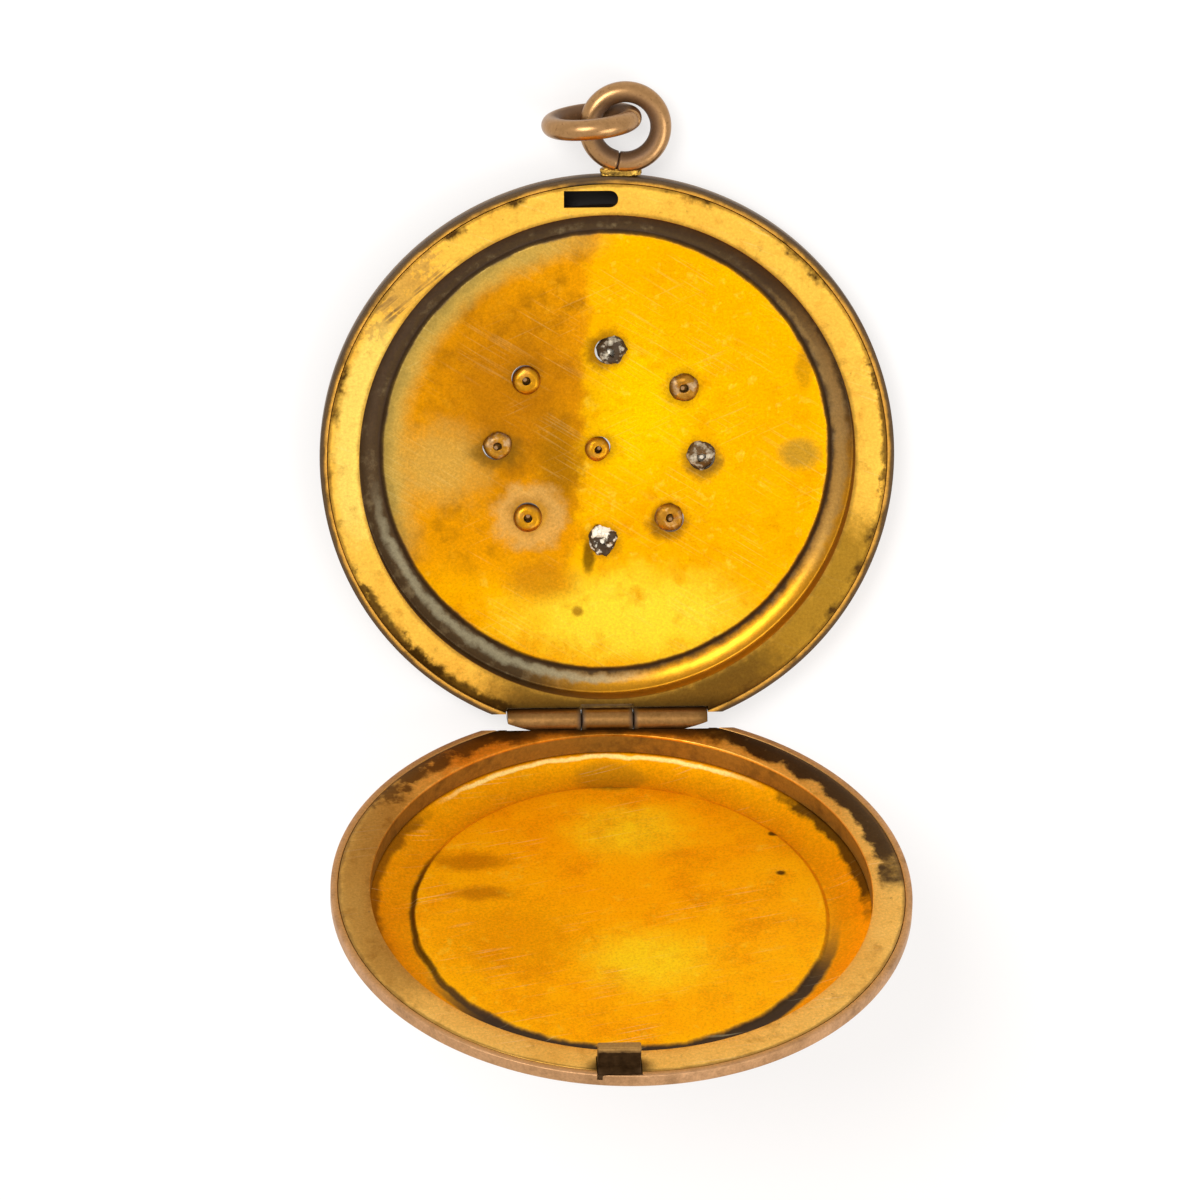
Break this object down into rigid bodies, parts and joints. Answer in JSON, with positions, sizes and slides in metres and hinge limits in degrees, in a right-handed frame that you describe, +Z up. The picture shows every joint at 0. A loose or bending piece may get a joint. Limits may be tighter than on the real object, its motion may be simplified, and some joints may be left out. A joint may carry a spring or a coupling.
{
  "type": "locket",
  "caption": "Round hinged picture locket lying open, with a slotted catch, a soldered bail ring, a jump ring and a ring of stones set through its front cover.",
  "frame": {"origin": "middle of the flat land round the front cover's outside, which the locket lies on", "axes": "+Z up out of the open front cover, +Y from the hinge towards the bail, X along the hinge"},
  "size_m": [0.0286, 0.0445, 0.0275],
  "materials": {
    "gold_filled_sheet": "worn gold-filled sheet, rubbed and scratched",
    "gold_filled_rim": "satin, tarnished at the edges",
    "hard_solder": "pitted solder",
    "hinge_tube": "rubbed, dark in the gaps",
    "hinge_wire": "drawn wire",
    "tarnished_strip": "dark tarnish, bright at the tip",
    "rose_gold_wire": "polished drawn wire",
    "stone_cup": "turned, dirty round the foot",
    "paste_stone": "cut paste, foiled"
  },
  "bodies": {
    "front_half": {"front_cover": "gold_filled_sheet", "front_rim": "gold_filled_rim", "front_hinge_bearer": "hard_solder", "left_hinge_knuckle": "hinge_tube", "right_hinge_knuckle": "hinge_tube", "hinge_pin": "hinge_wire", "bail_ring": "rose_gold_wire", "bail_saddle": "hard_solder", "stone_cup_centre": "stone_cup", "stone_cup_1": "stone_cup", "stone_cup_2": "stone_cup", "stone_cup_3": "stone_cup", "stone_cup_4": "stone_cup", "stone_cup_5": "stone_cup", "stone_cup_6": "stone_cup", "stone_cup_7": "stone_cup", "stone_cup_8": "stone_cup", "stone_centre": "paste_stone", "stone_1": "paste_stone", "stone_2": "paste_stone", "stone_3": "paste_stone", "stone_4": "paste_stone", "stone_5": "paste_stone", "stone_6": "paste_stone", "stone_7": "paste_stone", "stone_8": "paste_stone"},
    "back_half": {"back_cover": "gold_filled_sheet", "back_rim": "gold_filled_rim", "back_hinge_bearer": "hard_solder", "centre_hinge_knuckle": "hinge_tube", "catch_tongue": "tarnished_strip"},
    "jump_ring_body": {"jump_ring": "rose_gold_wire"}
  },
  "joints": [
    {"name": "cover_hinge", "type": "hinge", "parent": "front_half", "child": "back_half", "pos_m": [0, -0.01345, 0.00212], "axis": [1, 0, 0], "range_deg": [-113.7, 66.3]},
    {"name": "jump_ring_swing", "type": "hinge", "parent": "front_half", "child": "jump_ring_body", "pos_m": [-0.00086, 0.01719, 0.00173], "axis": [0.2542, 0.9671, 0], "range_deg": [-190, 10]}
  ]
}
